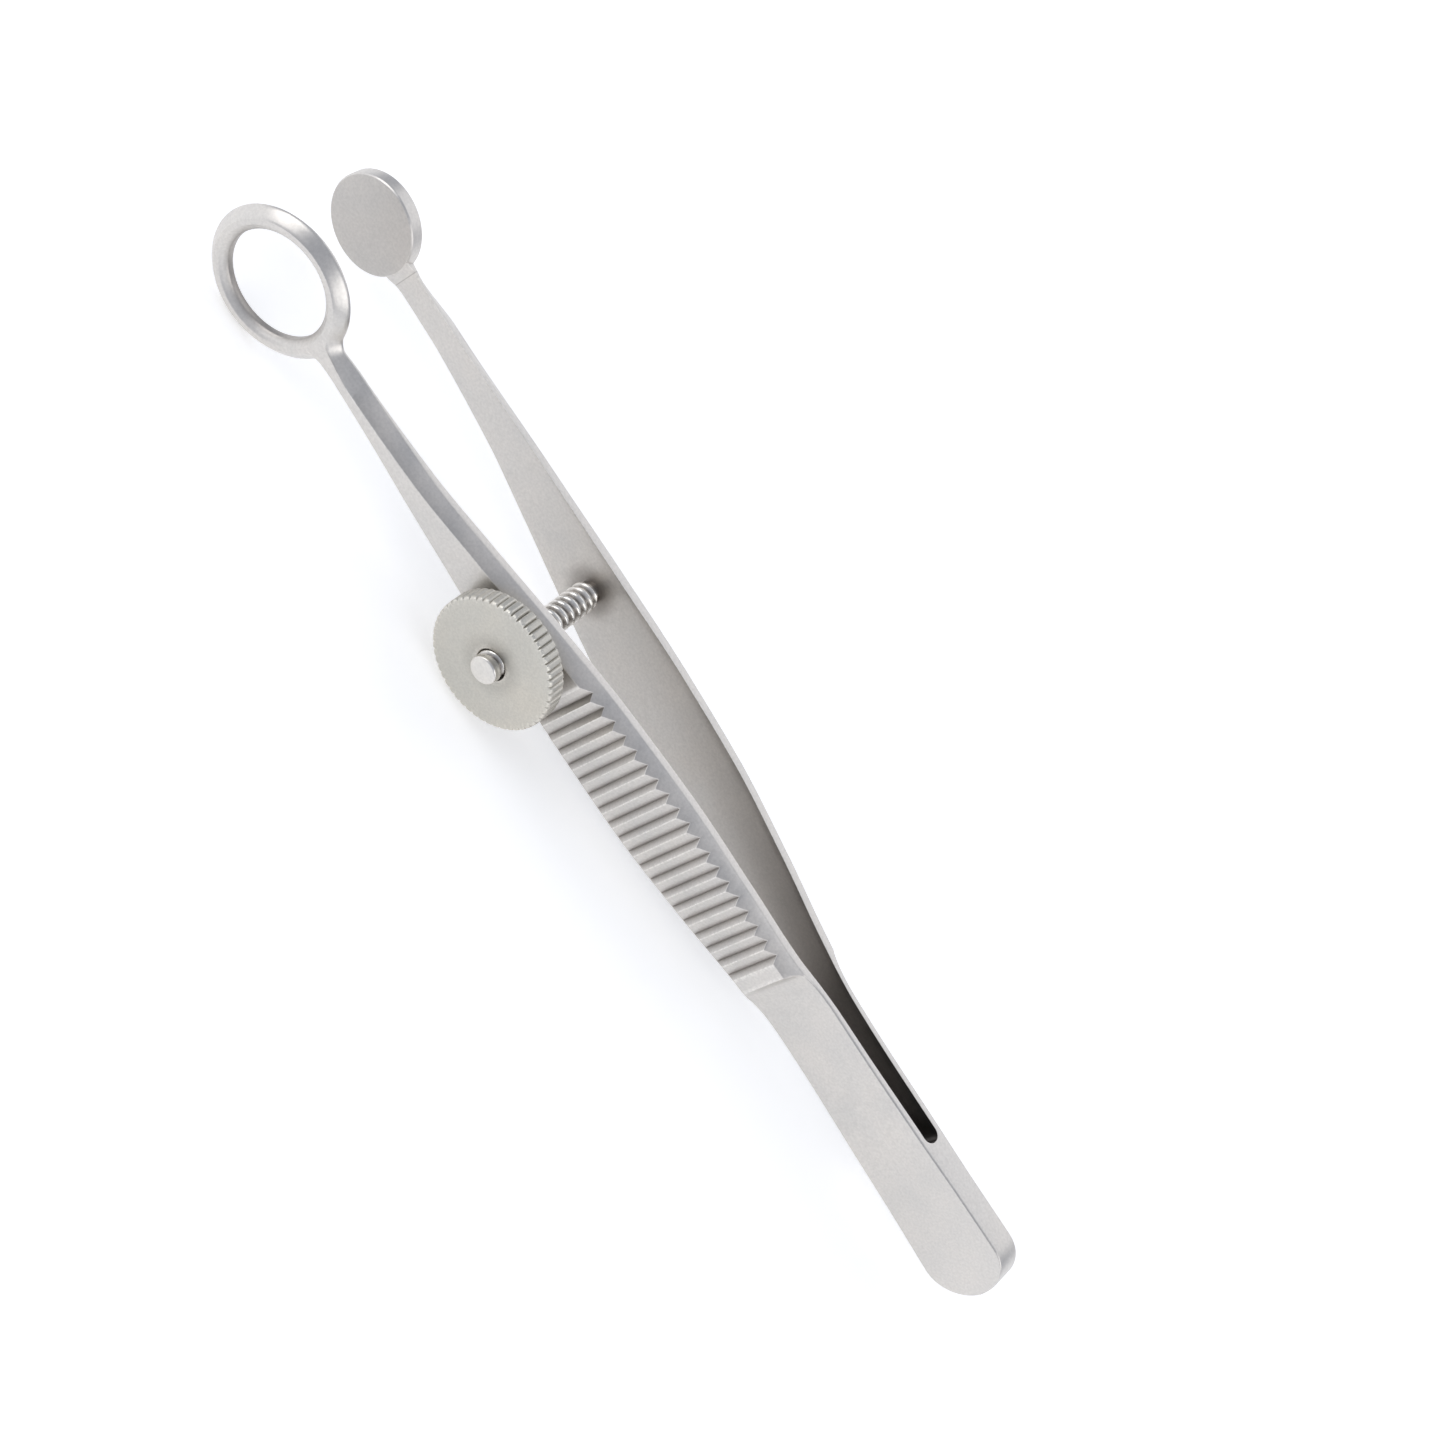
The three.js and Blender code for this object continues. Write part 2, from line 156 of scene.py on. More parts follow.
# Painted shade round the stud's place: the radius where it is darkest, the radius where it ends, the darkest
# shade.
UNDER_NUT = (2.2, 5.4, 0.4)
ROUND_HOLE = (1.2, 2.4, 0.6)
ROUND_RIVET = (1.3, 1.9, 0.8)
ROUND_FOOT = (1.0, 2.5, 0.55)


# ---- Small helpers -----------------------------------------------------------------------------------


def profile(points):
    """A smooth function through (x, value) points that never overshoots them."""
    xs = np.array([p[0] for p in points], float)
    ys = np.array([p[1] for p in points], float)
    slopes = np.diff(ys) / np.diff(xs)
    tangents = np.zeros(len(xs))
    tangents[0], tangents[-1] = slopes[0], slopes[-1]
    for i in range(1, len(xs) - 1):
        product = slopes[i - 1] * slopes[i]
        if product > 0:
            tangents[i] = 2 * product / (slopes[i - 1] + slopes[i])

    def value(x):
        if x <= xs[0]:
            return float(ys[0])
        if x >= xs[-1]:
            return float(ys[-1])
        i = int(np.searchsorted(xs, x)) - 1
        step = xs[i + 1] - xs[i]
        t = (x - xs[i]) / step
        blend = t * t * (3 - 2 * t)
        early = t * (1 - t) ** 2 * step * tangents[i]
        late = t * t * (1 - t) * step * tangents[i + 1]
        return float(ys[i] + (ys[i + 1] - ys[i]) * blend + early - late)

    return value


outer_level = profile(OUTER_POINTS)
inner_level = profile(INNER_POINTS)
half_width = profile(HALF_WIDTH_POINTS)
bevel_run = profile(BEVEL_RUN_POINTS)


def share_between(x, low, high):
    """How far x has come from low to high, from 0 to 1."""
    return min(max((x - low) / (high - low), 0.0), 1.0)


def smooth(x, low, high):
    t = share_between(x, low, high)
    return t * t * (3 - 2 * t)


def mix(a, b, share):
    return a * (1 - share) + b * share


def box_middle(node):
    low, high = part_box(node)
    return (Vector(low) + Vector(high)) / 2


weld_middle = box_middle("butt_weld")
HOME = Vector((box_middle("stud").x - STUD_X * MM, weld_middle.y, weld_middle.z))


def convexity(vertex):
    """0 on flat or hollow ground, up to 1 on the sharpest outward edges, which handling polishes."""
    angles = [e.calc_face_angle_signed(0.0) for e in vertex.link_edges if len(e.link_faces) == 2]
    return smooth(max(angles, default=0.0), math.radians(12), math.radians(50))


class Surface:
    """Collects vertices (drawing frame, mm) and faces, then makes them one clean mesh object."""

    def __init__(self):
        self.points = []
        self.faces = []
        self.shades = []
        self.polish = []

    def row(self, points, shades=None, polish=None):
        """Adds points. Shades are the painted shade at each one, from 0 (black) to 1 (unshaded), and
        polish says how much finer it is buffed, from 0 to 1."""
        first = len(self.points)
        self.points.extend(points)
        self.shades.extend(shades or [1.0] * len(points))
        self.polish.extend(polish or [0.0] * len(points))
        return list(range(first, len(self.points)))

    def strip(self, a, b, closed=False):
        count = len(a)
        for i in range(count if closed else count - 1):
            j = (i + 1) % count
            self.faces.append((a[i], a[j], b[j], b[i]))

    def sheet(self, rows, closed=False):
        for a, b in zip(rows, rows[1:]):
            self.strip(a, b, closed)

    def cap(self, ring):
        self.faces.append(tuple(ring))

    def build(self, name, material, mirror=False, sharp=35.0, handled=True):
        """Makes the object. A piece that isn't handled has no bright worn edges."""
        mesh = bpy.data.meshes.new(name)
        sign = -1.0 if mirror else 1.0
        placed = [(HOME.x + x * MM, HOME.y + sign * y * MM, HOME.z + z * MM) for x, y, z in self.points]
        mesh.from_pydata(placed, [], self.faces)
        mesh.attributes.new("shade", "FLOAT", "POINT").data.foreach_set("value", self.shades)
        mesh.attributes.new("polish", "FLOAT", "POINT").data.foreach_set("value", self.polish)
        work = bmesh.new()
        work.from_mesh(mesh)
        bmesh.ops.remove_doubles(work, verts=work.verts, dist=MERGE_DISTANCE)
        bmesh.ops.dissolve_degenerate(work, edges=work.edges, dist=MERGE_DISTANCE / 10)
        bmesh.ops.recalc_face_normals(work, faces=work.faces)
        worn = [convexity(v) if handled else 0.0 for v in work.verts]
        work.to_mesh(mesh)
        work.free()
        mesh.attributes.new("wear", "FLOAT", "POINT").data.foreach_set("value", worn)
        mesh.shade_smooth()
        mesh.set_sharp_from_angle(angle=math.radians(sharp))
        mesh.materials.append(material)
        obj = bpy.data.objects.new(name, mesh)
        bpy.context.scene.collection.objects.link(obj)
        return obj


# ---- Materials ---------------------------------------------------------------------------------------

CLOUD_SCALE = 260.0                  # broad uneven polish
MARK_SCALES = (260.0, 5200.0, 5200.0)    # rubbing marks run along the blades
NOISE_LOW = 0.3                      # noise stays mostly between these two
NOISE_HIGH = 0.7
BUMP_HEIGHT = 0.00002
DARK_SHARE = 0.9                     # the clouds' dark parts
# colours of the painted shade that the shade attribute lays on the steel, at 0 and at 0.5
PAINTED_SHADE_BLACK = (0.013, 0.012, 0.016)
PAINTED_SHADE_HALF = (0.435, 0.415, 0.405)
WEAR_BRIGHTENS = 0.24
WEAR_SMOOTHS = -0.13
BUFFING_SMOOTHS = -0.07


class Graph:
    """A material's node tree, with one short call for each kind of node that the steels use."""

    def __init__(self, name):
        self.material = bpy.data.materials.new(name)
        self.material.use_nodes = True
        self.tree = self.material.node_tree
        self.shader = self.tree.nodes["Principled BSDF"]

    def feed(self, node, inputs):
        """Sets each input to its value, or links it to the socket that it is given."""
        for key, value in inputs.items():
            if isinstance(value, bpy.types.NodeSocket):
                self.tree.links.new(value, node.inputs[key])
            else:
                node.inputs[key].default_value = value

    def add(self, kind, inputs, output, operation=None):
        """Adds a node and returns one of its outputs."""
        node = self.tree.nodes.new(kind)
        if operation:
            node.operation = operation
        self.feed(node, inputs)
        return node.outputs[output]

    def noise(self, place, scale, detail):
        return self.add("ShaderNodeTexNoise", {"Vector": place, "Scale": scale, "Detail": detail}, "Fac")

    def remap(self, value, source, target):
        """Turns the source range of a value into the target range, and keeps it there."""
        limits = {"From Min": source[0], "From Max": source[1], "To Min": target[0], "To Max": target[1]}
        return self.add("ShaderNodeMapRange", {"Value": value, **limits}, "Result")

    def ramp(self, factor, stops):
        node = self.tree.nodes.new("ShaderNodeValToRGB")
        self.feed(node, {"Fac": factor})
        elements = node.color_ramp.elements
        for position, _ in stops[1:-1]:
            elements.new(position)
        for element, (position, colour) in zip(elements, stops):
            element.position = position
            element.color = (*colour, 1)
        return node.outputs["Color"]

    def attribute(self, name):
        node = self.tree.nodes.new("ShaderNodeAttribute")
        node.attribute_name = name
        return node.outputs["Fac"]

    def times(self, a, b):
        return self.add("ShaderNodeMath", {0: a, 1: b}, "Value", "MULTIPLY")

    def times_plus(self, a, factor, addend):
        return self.add("ShaderNodeMath", {0: a, 1: factor, 2: addend}, "Value", "MULTIPLY_ADD")

    def scaled(self, colour, share):
        return self.add("ShaderNodeVectorMath", {0: colour, "Scale": share}, "Vector", "SCALE")

    def multiplied(self, colour, other):
        return self.add("ShaderNodeVectorMath", {0: colour, 1: other}, "Vector", "MULTIPLY")


def steel(name, colour, roughness, grain, grain_scale, warmth, lengthwise):
    """Stainless steel: a fine blasted grain, broad uneven polish and faint lengthwise rubbing marks, with
    painted shade, worn edges and buffing where the mesh's shade, wear and polish attributes put them."""
    graph = Graph(name)
    place = graph.add("ShaderNodeTexCoord", {}, "Object")
    clouds = graph.noise(place, CLOUD_SCALE, 5.0)
    fine = graph.noise(place, grain_scale, 3.0)
    stretched = graph.add("ShaderNodeMapping", {"Vector": place, "Scale": MARK_SCALES}, "Vector")
    marks = graph.noise(stretched, 1.0, 4.0)
    noise_range = (NOISE_LOW, NOISE_HIGH)

    dark = [c * DARK_SHARE for c in colour]
    warm = (colour[0] * (1 + warmth), colour[1], colour[2] * (1 - warmth))
    tint = graph.ramp(clouds, [(NOISE_LOW, dark), (NOISE_HIGH, warm)])
    speckled = graph.scaled(tint, graph.remap(fine, noise_range, (0.93, 1.05)))
    # painted shade: the shade attribute darkens the base colour
    painted_shade = graph.ramp(graph.attribute("shade"), [(0.0, PAINTED_SHADE_BLACK), (0.5, PAINTED_SHADE_HALF), (1.0, (1, 1, 1))])
    worn = graph.times(graph.attribute("wear"), graph.remap(fine, (0.35, 0.6), (0.45, 1.0)))
    worn_gain = graph.times_plus(worn, WEAR_BRIGHTENS, 1.0)

    uneven = graph.remap(clouds, noise_range, (roughness - 0.05, roughness + 0.07))
    rubbed = graph.times_plus(worn, WEAR_SMOOTHS, uneven)

    height = graph.add("ShaderNodeMix", {"Factor": lengthwise, "A": fine, "B": marks}, "Result")
    bump = {"Strength": grain, "Distance": BUMP_HEIGHT, "Height": height}
    graph.feed(graph.shader, {
        "Metallic": 1.0,
        "Base Color": graph.scaled(graph.multiplied(speckled, painted_shade), worn_gain),
        "Roughness": graph.times_plus(graph.attribute("polish"), BUFFING_SMOOTHS, rubbed),
        "Normal": graph.add("ShaderNodeBump", bump, "Normal"),
    })
    return graph.material


SATIN = steel(
    "satin_steel", (0.7, 0.679, 0.652), roughness=0.4, grain=0.35, grain_scale=5200.0, warmth=0.015,
    lengthwise=0.3,
)
TURNED = steel(
    "turned_steel", (0.64, 0.622, 0.57), roughness=0.53, grain=0.45, grain_scale=6500.0, warmth=0.02,
    lengthwise=0.0,
)
BRIGHT = steel(
    "bright_steel", (0.86, 0.845, 0.81), roughness=0.32, grain=0.12, grain_scale=4200.0, warmth=0.03,
    lengthwise=0.1,
)

# ---- Blade section -----------------------------------------------------------------------------------
# A section runs from the edge of the outer flat, over the bevel and down the wall, to the edge of the
# inner face. It is a list of (inset, height) pairs: how far inside the widest outline, and how far from
# the inner face.

HEEL = 0.05                          # rounding of the wall's lower edge
EDGE_BREAK = 0.09                    # broken edge where there is no bevel
NECK_WALL = 0.2                      # beside the jaw the side is nearly all bevel
CORNER_ROUNDING = 0.05               # where the bevel meets the outer flat
TOE_ROUNDING = 0.08                  # where the bevel meets the wall
CREASE_THICKNESS = outer_level(CREASE) - inner_level(CREASE)
RING_EDGE = [
    (0.77, 1.0), (0.745, 0.998), (0.72, 0.984), (0.58, 0.86), (0.44, 0.715), (0.3, 0.565), (0.16, 0.41),
    (0.06, 0.27), (0.01, 0.16), (0.0, 0.08), (0.05, 0.0),
]
EDGE_COUNT = len(RING_EDGE)
FLAT_SEGMENTS = 12
LOOP_COUNT = 2 * (FLAT_SEGMENTS + 1) + 2 * (EDGE_COUNT - 2)

# A loop's first points are on the outer face, and each bevel's points come just after and just before them.
# painted shade on each bevel's points, darkest by the face's edge
BEVEL_SHADE_OF_POINT = {FLAT_SEGMENTS + 2 + k: shade for k, shade in enumerate(BEVEL_SHADES)}
BEVEL_SHADE_OF_POINT |= {LOOP_COUNT - 2 - k: shade for k, shade in enumerate(BEVEL_SHADES)}


def blade_edge(run, full, top, wall, heel):
    """The side of a blade whose bevel climbs from wall to full over run, cut off flat at top."""
    slope = (full - wall) / run
    if top - EDGE_BREAK < wall + 1e-6:
        wall = top - EDGE_BREAK
        slope = 1.0
    corner = (top - wall) / slope
    soft = min(CORNER_ROUNDING, corner * 0.3)
    toe = min(TOE_ROUNDING, corner * 0.3)

    def face(inset):
        return min(wall + inset * slope, top)

    section = [
        (corner + soft * 1.4, top),
        (corner + soft * 0.4, top - soft * 0.12),
        (corner - soft * 0.8, face(corner - soft)),
    ]
    for t in (0.35, 0.7):
        inset = mix(corner - soft, toe, t)
        section.append((inset, face(inset)))
    return section + [
        (toe * 0.8, face(toe * 0.8)),
        (toe * 0.2, face(0.0) - toe * 0.15),
        (0.0, face(0.0) - toe * 0.9),
        (0.0, min(heel * 1.4 + 0.01, wall * 0.4)),
        (heel * 0.3, heel * 0.3),
        (heel * 1.4, 0.0),
    ]


def groove_drop(x):
    """How far the saw teeth lower the outer face at x."""
    last = FIRST_GROOVE + (GROOVES - 1) * GROOVE_PITCH
    fall = GROOVE_PITCH - GROOVE_RISE
    if x <= FIRST_GROOVE - fall or x >= last + GROOVE_RISE:
        return 0.0
    along = (x - FIRST_GROOVE) % GROOVE_PITCH
    if x < FIRST_GROOVE:
        along = x - FIRST_GROOVE + GROOVE_PITCH
    if along < GROOVE_RISE:
        share = along / GROOVE_RISE
        return GROOVE_DEPTH * (1 - share ** 0.85)
    share = (along - GROOVE_RISE) / fall
    return GROOVE_DEPTH * (0.04 + 0.96 * share ** 1.15) if share > 0.08 else GROOVE_DEPTH * 0.3 * share


def groove_shade(x):
    """Painted shade: grooves are darker at the bottom and up their steep side."""
    depth = groove_drop(x) / GROOVE_DEPTH
    along = (x - FIRST_GROOVE) % GROOVE_PITCH
    steep = along < GROOVE_RISE
    return 1 - GROOVE_PAINTED_SHADE * depth ** (0.8 if steep else 5.0)


def slot_shade(x):
    """Painted shade: the inner faces darken into the narrow end of the slot."""
    return float(np.interp(x, list(SLOT_SHADES), list(SLOT_SHADES.values())))


def ring_shade(x, z, near, far, least):
    """Painted shade round a piece that stands on the blade at the stud's place."""
    return least + (1 - least) * smooth(math.hypot(x - STUD_X, z), near, far)


def plain_levels(x):
    return outer_level(x), inner_level(x)


def butt_share(x):
    """How much of the blade's width is left at x, where the butt's corners are rounded off."""
    into_end = share_between(x, BUTT_END - BUTT_ROUNDING, BUTT_END)
    return math.sqrt(max(1 - into_end ** 2, 0.0))


def section_at(x, levels):
    """A blade's side at x, the height of its inner face, and its half width."""
    outer, inner = levels(x)
    slot_half = inner_level(SLOT_END)
    into_slot = share_between(x, SLOT_END - slot_half, SLOT_END)
    if into_slot > 0:
        inner = SEAM_HALF + (inner - SEAM_HALF) * math.sqrt(1 - into_slot ** 2)
    tall = outer - inner
    full = tall if x <= CREASE else CREASE_THICKNESS
    wall = NECK_WALL + (WALL - NECK_WALL) * smooth(x, *WALL_RUN)
    heel = HEEL * (1 - smooth(x, SLOT_END - 0.4, SLOT_END))
    too_thin_for_bevel = outer_level(x) - inner_level(x) - EDGE_BREAK < WALL
    if too_thin_for_bevel:
        wall = tall - EDGE_BREAK
    edge = blade_edge(bevel_run(x), full, tall - groove_drop(x), wall, heel)
    return edge, inner, half_width(x) * butt_share(x)


def loop_shades(points, x, outer_painted_shade, inner_painted_shade):
    """Shades for a loop: its first points are on the outer face and its middle ones on the inner face."""
    outside = FLAT_SEGMENTS + 1
    side = EDGE_COUNT - 1
    shades = []
    for i, (_, _, z) in enumerate(points):
        shade = 1.0
        if i < outside:
            shade = groove_shade(x) * ring_shade(x, z, *outer_painted_shade)
        elif i in BEVEL_SHADE_OF_POINT:
            shade = BEVEL_SHADE_OF_POINT[i]
        elif outside + side - 2 < i < outside + side + FLAT_SEGMENTS:
            shade = slot_shade(x) * ring_shade(x, z, *inner_painted_shade)
        shades.append(shade)
    return shades


def loop_points(x, edge, inner, width):
    """The whole loop round a blade at x: outer flat from +Z to -Z, side, inner face, side."""
    top = edge[0]
    span = max(width - top[0], 0.0)
    across = [span * (1 - 2 * i / FLAT_SEGMENTS) for i in range(FLAT_SEGMENTS + 1)]
    points = [(x, inner + top[1], z) for z in across]
    points += [(x, inner + h, -max(width - inset, 0.0)) for inset, h in edge[1:]]
    span = max(width - edge[-1][0], 0.0)
    points += [(x, inner, -span * (1 - 2 * i / FLAT_SEGMENTS)) for i in range(1, FLAT_SEGMENTS + 1)]
    points += [(x, inner + h, max(width - inset, 0.0)) for inset, h in reversed(edge[1:-1])]
    return points


def blade_stations():
    """Where the blade's sections are: closest at the grooves, the crease, the slot's end and the butt."""
    stations = list(np.linspace(HEAD_END, FIRST_GROOVE - 1.0, 34))
    fall = GROOVE_PITCH - GROOVE_RISE
    for i in range(GROOVES):
        bottom = FIRST_GROOVE + i * GROOVE_PITCH
        stations += [bottom + GROOVE_RISE * t for t in (-0.0001, 0.04, 0.3, 0.6, 0.9, 1.0)]
        stations += [bottom - fall + fall * t for t in (0.08, 0.16, 0.35, 0.6, 0.85, 0.96)]
    last = FIRST_GROOVE + (GROOVES - 1) * GROOVE_PITCH + GROOVE_RISE
    stations += list(np.linspace(last, CREASE, 5))
    stations += list(np.linspace(CREASE, 62, 54))
    stations += list(np.linspace(62, SLOT_END - 0.8, 14))
    half = inner_level(SLOT_END)
    stations += [SLOT_END - half + half * math.sin(math.pi / 2 * i / 12) for i in range(13)]
    rounding_start = BUTT_END - BUTT_ROUNDING
    stations += list(np.linspace(SLOT_END + 0.01, rounding_start, 10))
    stations += [rounding_start + BUTT_ROUNDING * math.sin(math.pi / 2 * i / 24) for i in range(25)]
    ordered = sorted(stations)
    kept = [ordered[0]]
    for x in ordered[1:]:
        if x - kept[-1] > 2e-3:
            kept.append(x)
    kept[-1] = BUTT_END
    return kept


def add_blade(surface, outer_painted_shade, inner_painted_shade):
    rows = []
    for x in blade_stations():
        points = loop_points(x, *section_at(x, plain_levels))
        rows.append(surface.row(points, loop_shades(points, x, outer_painted_shade, inner_painted_shade)))
    surface.sheet(rows, closed=True)


# ---- Ring head ---------------------------------------------------------------------------------------

SIDE_POINTS = 12
FILLET_POINTS = 12
CIRCLE_POINTS = 150
JOIN_ANGLE = math.radians(6.0)       # the line where the blade starts spans this far each way round the bore
BORE = [                             # (radius, height) from the front face to the clamping face
    (4.58, 1.0), (4.52, 0.99), (4.45, 0.95), (4.28, 0.8), (4.12, 0.655), (4.04, 0.57), (4.0, 0.5),
    (4.0, 0.3), (4.01, 0.1), (4.03, 0.03), (4.08, 0.0),
]


def outline(inset, blade_width):
    """Half of the ring arm's outline, as (x, z), from the blade round to the far side of the ring."""
    radius = RING_RADIUS - inset
    half = NECK_HALF_WIDTH - inset
    fillet = NECK_FILLET + inset
    middle_x = math.sqrt((radius + fillet) ** 2 - (half + fillet) ** 2)
    turn = math.atan2(half + fillet, middle_x)
    points = []
    for i in range(SIDE_POINTS):
        t = i / SIDE_POINTS
        points.append((HEAD_END + (middle_x - HEAD_END) * t, half + (blade_width - half) * (1 - t) ** 1.5))
    for i in range(FILLET_POINTS):
        angle = -math.pi / 2 - (math.pi / 2 - turn) * i / FILLET_POINTS
        points.append((middle_x + fillet * math.cos(angle), half + fillet + fillet * math.sin(angle)))
    for i in range(CIRCLE_POINTS // 2 + 1):
        angle = turn + (math.pi - turn) * i / (CIRCLE_POINTS // 2)
        points.append((radius * math.cos(angle), radius * math.sin(angle)))
    return points


def ring_bottom(x):
    """The clamping face, which leans."""
    return RING_FACE_Y - math.tan(LEAN) * x


def ring_levels(x):
    """The ring's leaning faces run into the blade's own levels over the neck."""
    outer, inner = plain_levels(HEAD_END)
    outer = mix(ring_bottom(x) + RING_THICKNESS, outer, smooth(x, *RING_BACK_RUN))
    inner = mix(ring_bottom(x), inner, smooth(x, *RING_FACE_RUN))
    return outer, inner


def ring_band(k, edge, width, ring_share):
    """The k-th line of the head's side, from the blade's one side round the ring to its other side."""
    ring_inset, ring_height = RING_EDGE[k]
    blade_inset, blade_height = edge[k]
    full = edge[0][1]
    above = max(blade_height - NECK_WALL, 0.0) / (full - NECK_WALL)
    ring_line = outline(ring_inset, width - blade_inset)
    blade_line = outline(blade_inset, width - blade_inset)
    half = []
    for on_blade, on_ring, share in zip(blade_line, ring_line, ring_share):
        x = mix(on_blade[0], on_ring[0], share)
        outer, inner = ring_levels(x)
        tall = outer - inner
        height = mix(blade_height + (tall - full) * above, ring_height * tall, share)
        half.append((x, inner + height, mix(on_blade[1], on_ring[1], share)))
    return half + [(x, y, -z) for x, y, z in reversed(half[:-1])]


def on_bore(angle, radius, height):
    x = radius * math.cos(angle)
    return x, ring_bottom(x) + height, radius * math.sin(angle)


def add_ring_head(surface):
    edge, _, width = section_at(HEAD_END, ring_levels)
    count = SIDE_POINTS + FILLET_POINTS + CIRCLE_POINTS // 2 + 1
    ring_share = [smooth(i, SIDE_POINTS * 0.6, SIDE_POINTS + FILLET_POINTS) for i in range(count)]
    bands = [ring_band(k, edge, width, ring_share) for k in range(EDGE_COUNT)]
    buffed = ring_share + ring_share[-2::-1]
    surface.sheet([surface.row(band, polish=buffed if k >= 2 else None) for k, band in enumerate(bands)])

    angles = head_angles(bands[0])
    add_head_face(surface, bands[0], angles, BORE[0], 0)
    add_head_face(surface, bands[-1], angles, BORE[-1], 1)
    bore_rows = []
    for k, (radius, height) in enumerate(BORE):
        at_rim = k in (0, len(BORE) - 1)
        # painted shade inside the bore, none at its two rims
        shade = 1.0 if at_rim else 0.68 + 0.32 * smooth(height, 0.5, 0.8)
        points = [on_bore(angle, radius, height) for angle in angles]
        bore_rows.append(surface.row(points, [shade] * len(points)))
    surface.sheet(bore_rows, closed=True)


def head_angles(band):
    """Angles round the bore for the points of a head's outline and of the line where the blade starts."""
    steps = [math.dist(a, b) for a, b in zip(band, band[1:])]
    half = len(steps) // 2
    neck = SIDE_POINTS + FILLET_POINTS
    turn = math.atan2(band[neck][2], band[neck][0])
    along = np.concatenate([[0], np.cumsum(steps[:neck])])
    angles = [JOIN_ANGLE + (turn - JOIN_ANGLE) * a / along[-1] for a in along]
    angles += [math.atan2(p[2], p[0]) for p in band[neck + 1: half + 1]]
    angles += [2 * math.pi - a for a in reversed(angles[:-1])]
    join = [2 * math.pi - JOIN_ANGLE + 2 * JOIN_ANGLE * i / FLAT_SEGMENTS for i in range(1, FLAT_SEGMENTS)]
    return angles + join


def add_head_face(surface, band, angles, rim, side):
    """A flat side of the head, from its outline in to the bore's rim. Side is 0 in front and 1 behind."""
    start, end = band[-1], band[0]
    join = [tuple(mix(a, b, i / FLAT_SEGMENTS) for a, b in zip(start, end)) for i in range(1, FLAT_SEGMENTS)]
    loop = band + join
    rim_points = [on_bore(angle, *rim) for angle in angles]
    rows = [surface.row(loop)]
    for share in (0.12, 0.3, 0.5, 0.7, 0.88):
        points = []
        for (x, _, z), (rim_x, _, rim_z) in zip(loop, rim_points):
            between = mix(x, rim_x, share)
            points.append((between, ring_levels(between)[side], mix(z, rim_z, share)))
        rows.append(surface.row(points))
    rows.append(surface.row(rim_points))
    surface.sheet(rows, closed=True)


# ---- Turned and threaded shapes ----------------------------------------------------------------------

ROUNDING_STEPS = 4
THREAD_STEPS = 48                    # sections in one turn
THREAD_SHAPE = [                     # (share of the pitch, share of the depth) across one turn
    (0.0, 0.0), (0.1, 0.22), (0.22, 0.72), (0.36, 0.96), (0.5, 1.0), (0.64, 0.96), (0.78, 0.72), (0.9, 0.22),
]


def rounded(points, size):
    """Rounds each inner corner of a section of (radius, y) points."""
    result = [points[0]]
    for before, corner, after in zip(points, points[1:], points[2:]):
        a, b, c = Vector(before), Vector(corner), Vector(after)
        reach = min(size, (a - b).length * 0.45, (c - b).length * 0.45)
        start = b + (a - b).normalized() * reach
        finish = b + (c - b).normalized() * reach
        for i in range(ROUNDING_STEPS + 1):
            t = i / ROUNDING_STEPS
            result.append(tuple(start * (1 - t) ** 2 + b * 2 * t * (1 - t) + finish * t ** 2))
    return result + [points[-1]]


def add_turned(surface, section, middle_x, segments, shade_at, lean=0.0, base=0.0):
    """A solid turned about Y from (radius, y) pairs that start and end on the axis, then leaned about Z."""
    rows = []
    for radius, y in section:
        points = []
        for i in range(segments):
            angle = 2 * math.pi * i / segments
            x = radius * math.cos(angle)
            leaned_x = x * math.cos(lean) + y * math.sin(lean)
            leaned_y = -x * math.sin(lean) + y * math.cos(lean)
            points.append((middle_x + leaned_x, base + leaned_y, radius * math.sin(angle)))
        rows.append(surface.row(points, [shade_at(radius, y)] * segments))
    surface.sheet(rows, closed=True)


def add_thread(surface, low, high):
    """A right-hand thread about the stud's axis between two heights, fading out at both ends."""
    turns = int(math.ceil((high - low) / THREAD_PITCH)) + 1
    columns = []
    for n in range(turns * THREAD_STEPS + 1):
        angle = 2 * math.pi * n / THREAD_STEPS
        column = []
        shades = []
        for share, rise in THREAD_SHAPE:
            y = low - THREAD_PITCH + THREAD_PITCH * (n / THREAD_STEPS + share)
            depth = (THREAD_CREST - THREAD_ROOT) * rise * smooth(high - y, -0.05, 0.35)
            lead = smooth(y - low, 0.05, 0.35)
            radius = (THREAD_ROOT + depth) * lead + (STUD_TIP_RADIUS + 0.004) * (1 - lead)
            # painted shade in the thread's roots, fading out on the plain tip
            shades.append(1 - (0.62 - 0.62 * rise ** 1.3) * lead)
            y = min(max(y, low), high)
            column.append((STUD_X + radius * math.cos(angle), y, -radius * math.sin(angle)))
        columns.append(surface.row(column, shades))
    surface.sheet(columns)
    for n in range(len(columns) - THREAD_STEPS - 1):
        here, beside = columns[n], columns[n + 1]
        above, above_beside = columns[n + THREAD_STEPS], columns[n + THREAD_STEPS + 1]
        surface.faces.append((here[-1], above[0], above_beside[0], beside[-1]))


# ---- Ring arm ----------------------------------------------------------------------------------------


